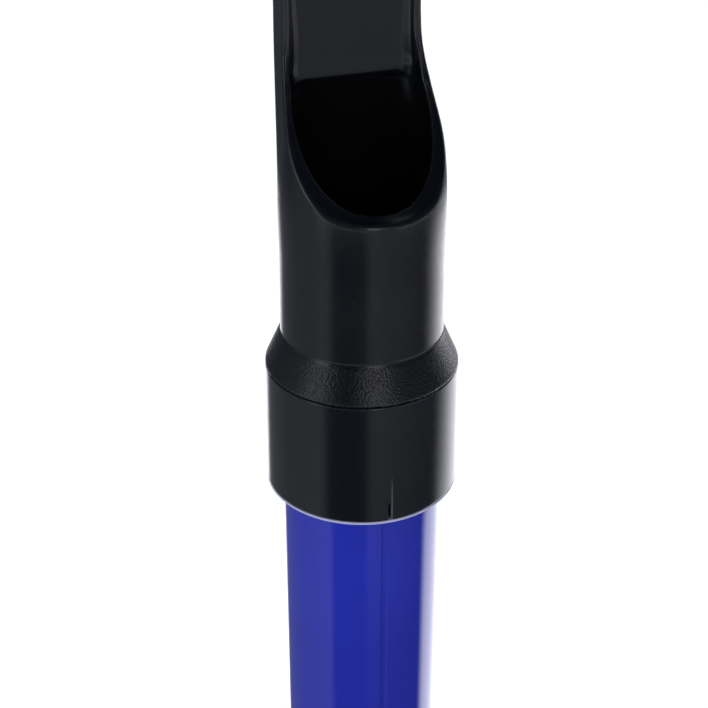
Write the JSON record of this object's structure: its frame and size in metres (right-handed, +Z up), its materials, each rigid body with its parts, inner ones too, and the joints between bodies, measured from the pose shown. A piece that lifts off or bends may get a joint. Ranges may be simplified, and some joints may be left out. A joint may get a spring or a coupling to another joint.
{
  "type": "boat hook",
  "caption": "Telescopic boat hook with a moulded hook and push-off nose on sliding tubes locked by flip levers, with a foam grip and a butt cap.",
  "frame": {"origin": "centre of the butt cap's flat end face", "axes": "+Z up the pole to the nose, +X to the side the hook is on, -Y the grooved front of the pole"},
  "size_m": [0.0816, 0.0427, 0.9132],
  "materials": {
    "blue_tube": "gloss blue anodised",
    "head_plastic": "satin moulded, grained on the taper",
    "collar_plastic": "semi-gloss",
    "washer_plastic": "natural translucent",
    "clamp_plastic": "fine grained",
    "cap_plastic": "satin",
    "guide_plastic": "smooth",
    "grip_foam": "closed-cell foam",
    "float_foam": "closed-cell foam",
    "rubber": "matt",
    "stainless": "passivated"
  },
  "bodies": {
    "handle": {"end_cap": "cap_plastic", "end_cap_screw": "stainless", "butt_bumper": "rubber", "outer_tube": "blue_tube", "grip_sleeve": "grip_foam", "lower_clamp_body": "clamp_plastic", "lower_clamp_liner": "guide_plastic", "lower_clamp_screw": "stainless", "lower_cam_plate": "stainless", "lower_tension_bolt": "stainless", "lower_lock_nut": "stainless", "lower_lever_pin": "stainless"},
    "lower_lever": {"lower_lever": "clamp_plastic"},
    "mid_section": {"mid_tube": "blue_tube", "mid_guide_bush": "guide_plastic", "upper_clamp_body": "clamp_plastic", "upper_clamp_liner": "guide_plastic", "upper_clamp_screw": "stainless", "upper_cam_plate": "stainless", "upper_tension_bolt": "stainless", "upper_lock_nut": "stainless", "upper_lever_pin": "stainless"},
    "upper_lever": {"upper_lever": "clamp_plastic"},
    "top_section": {"top_tube": "blue_tube", "top_guide_bush": "guide_plastic", "float_plug": "float_foam", "hook_head": "head_plastic", "head_collar": "collar_plastic", "collar_washer": "washer_plastic", "head_pin": "collar_plastic"}
  },
  "joints": [
    {"name": "mid_slide", "type": "slide", "parent": "handle", "child": "mid_section", "axis": [0, 0, 1], "range_m": [0, 0.425]},
    {"name": "top_slide", "type": "slide", "parent": "mid_section", "child": "top_section", "axis": [0, 0, 1], "range_m": [0, 0.5]},
    {"name": "lower_lever_hinge", "type": "hinge", "parent": "handle", "child": "lower_lever", "pos_m": [0.0241, -0.0119, 0.531], "axis": [0, 0, 1], "range_deg": [0, 115]},
    {"name": "upper_lever_hinge", "type": "hinge", "parent": "mid_section", "child": "upper_lever", "pos_m": [0.0224, -0.0119, 0.623], "axis": [0, 0, 1], "range_deg": [0, 115]}
  ]
}
